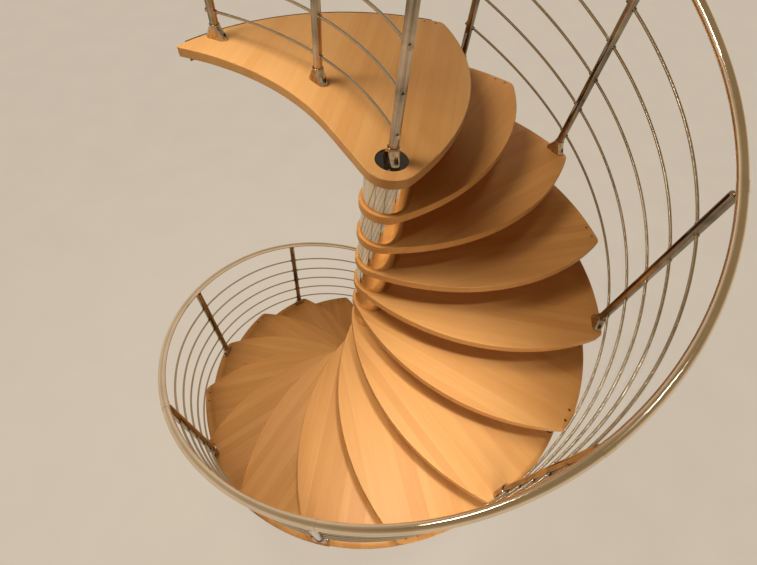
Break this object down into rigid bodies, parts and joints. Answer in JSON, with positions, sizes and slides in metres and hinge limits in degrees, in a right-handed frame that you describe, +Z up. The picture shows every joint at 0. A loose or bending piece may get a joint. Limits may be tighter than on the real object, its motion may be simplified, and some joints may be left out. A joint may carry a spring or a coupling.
{
  "type": "spiral staircase",
  "caption": "Spiral staircase with leaf-shaped wooden treads on a polished steel column, a helical handrail on slim posts with thin rods, and a landing with its own guard.",
  "frame": {"origin": "on the column axis, on the underside of the base flange, at the lower floor", "axes": "+Z up along the column; +X to the right and -Y to the front as the stair is seen from the picture's side; seen from above the stair climbs anticlockwise"},
  "size_m": [2.416, 2.4228, 4.0889],
  "materials": {
    "oiled_wood": "satin lacquered beech, glued from staves",
    "column_steel": "mirror polished",
    "polished_steel": "polished",
    "rod_steel": "polished",
    "cast_foot_steel": "polished casting"
  },
  "bodies": {
    "root": {"base_flange": "column_steel", "centre_pole": "column_steel", "column_cap": "column_steel", "column_tubes": "column_steel", "guard_feet": "cast_foot_steel", "guard_posts": "polished_steel", "guard_rail": "polished_steel", "guard_rail_ends": "polished_steel", "guard_rail_joints": "polished_steel", "guard_rods": "rod_steel", "handrail": "polished_steel", "handrail_ends": "polished_steel", "handrail_joints": "polished_steel", "landing": "oiled_wood", "landing_edge_band": "polished_steel", "outer_spacers": "polished_steel", "post_feet": "cast_foot_steel", "railing_posts": "polished_steel", "rods_bay_1": "rod_steel", "rods_bay_2": "rod_steel", "rods_bay_3": "rod_steel", "rods_bay_4": "rod_steel", "rods_bay_5": "rod_steel", "rods_bay_6": "rod_steel", "rods_bay_7": "rod_steel", "rods_bay_8": "rod_steel", "tread_01": "oiled_wood", "tread_02": "oiled_wood", "tread_03": "oiled_wood", "tread_04": "oiled_wood", "tread_05": "oiled_wood", "tread_06": "oiled_wood", "tread_07": "oiled_wood", "tread_08": "oiled_wood", "tread_09": "oiled_wood", "tread_10": "oiled_wood", "tread_11": "oiled_wood", "tread_12": "oiled_wood", "tread_13": "oiled_wood", "tread_14": "oiled_wood", "tread_15": "oiled_wood"}
  },
  "joints": []
}
